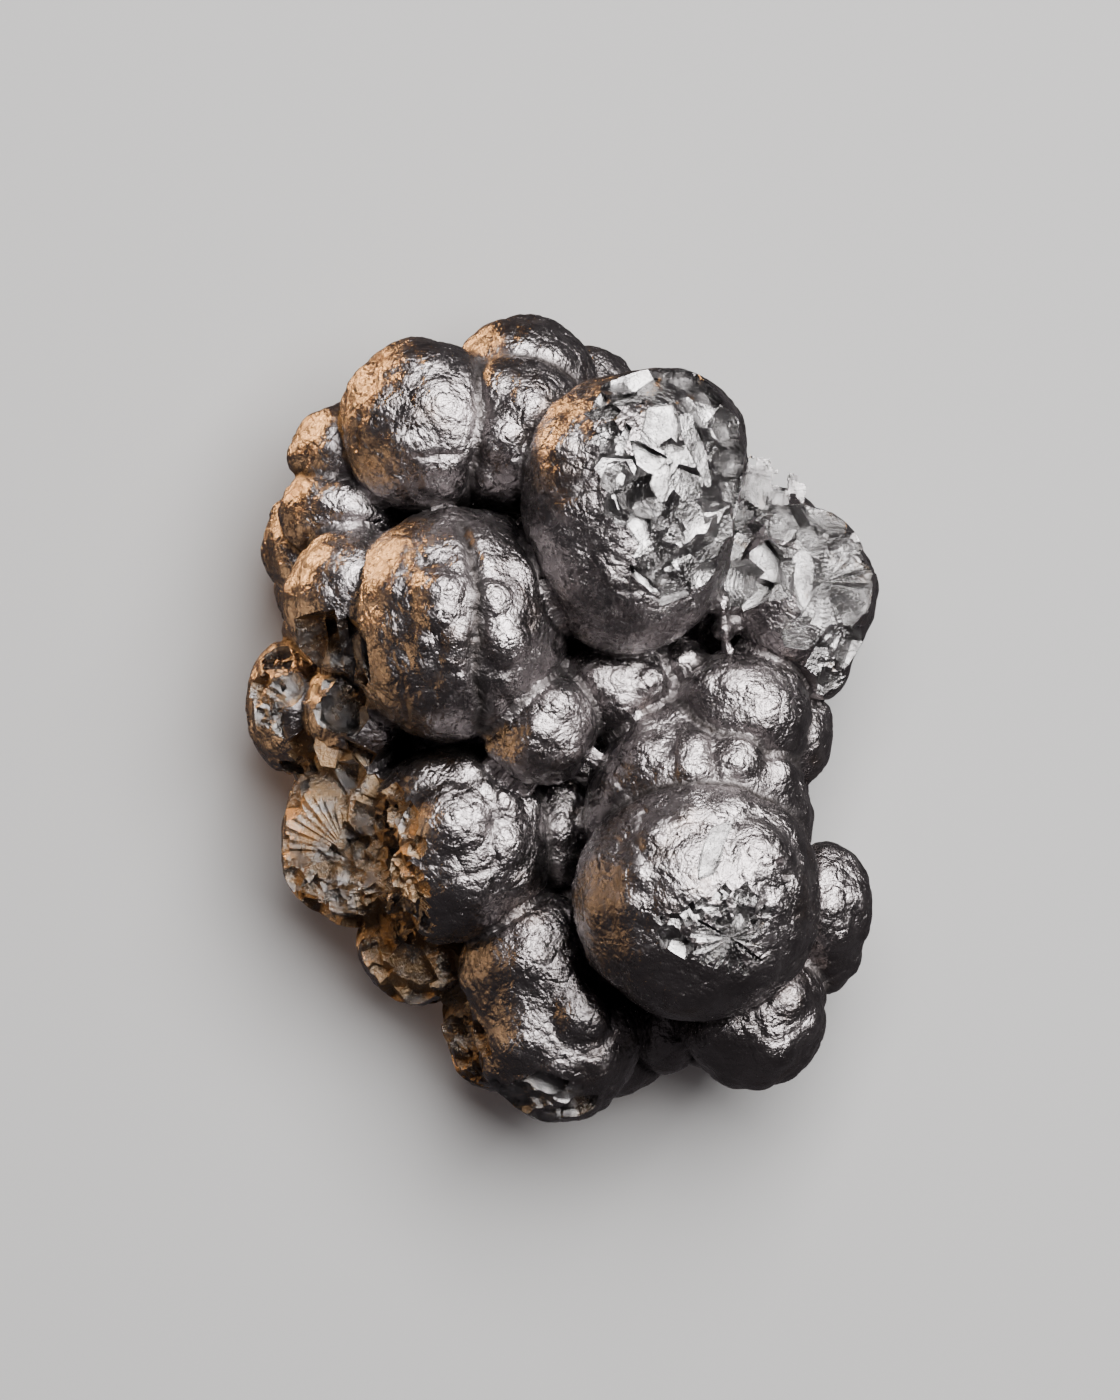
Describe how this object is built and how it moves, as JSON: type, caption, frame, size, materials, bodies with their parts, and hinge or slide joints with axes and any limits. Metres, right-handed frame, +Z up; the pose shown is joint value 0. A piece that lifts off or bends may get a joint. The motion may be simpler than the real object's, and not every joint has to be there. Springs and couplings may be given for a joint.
{
  "type": "botryoidal manganese ore specimen",
  "caption": "Lump of dark metallic manganese ore made of rounded, grape-like nodules with broken glassy facets, lying on its flat broken back.",
  "frame": {"origin": "middle of the flat that the broken back rests on", "axes": "+Z up out of the rest face, towards the nodules; +Y along the specimen's length, towards the crown of nodules that is at the picture's top; +X to the picture's right"},
  "size_m": [0.1024, 0.1307, 0.0722],
  "materials": {
    "ore": "dark steel-grey natural skin with a satin submetallic lustre, glassy where it is broken"
  },
  "bodies": {
    "root": {"manganese_ore": "ore"}
  },
  "joints": []
}
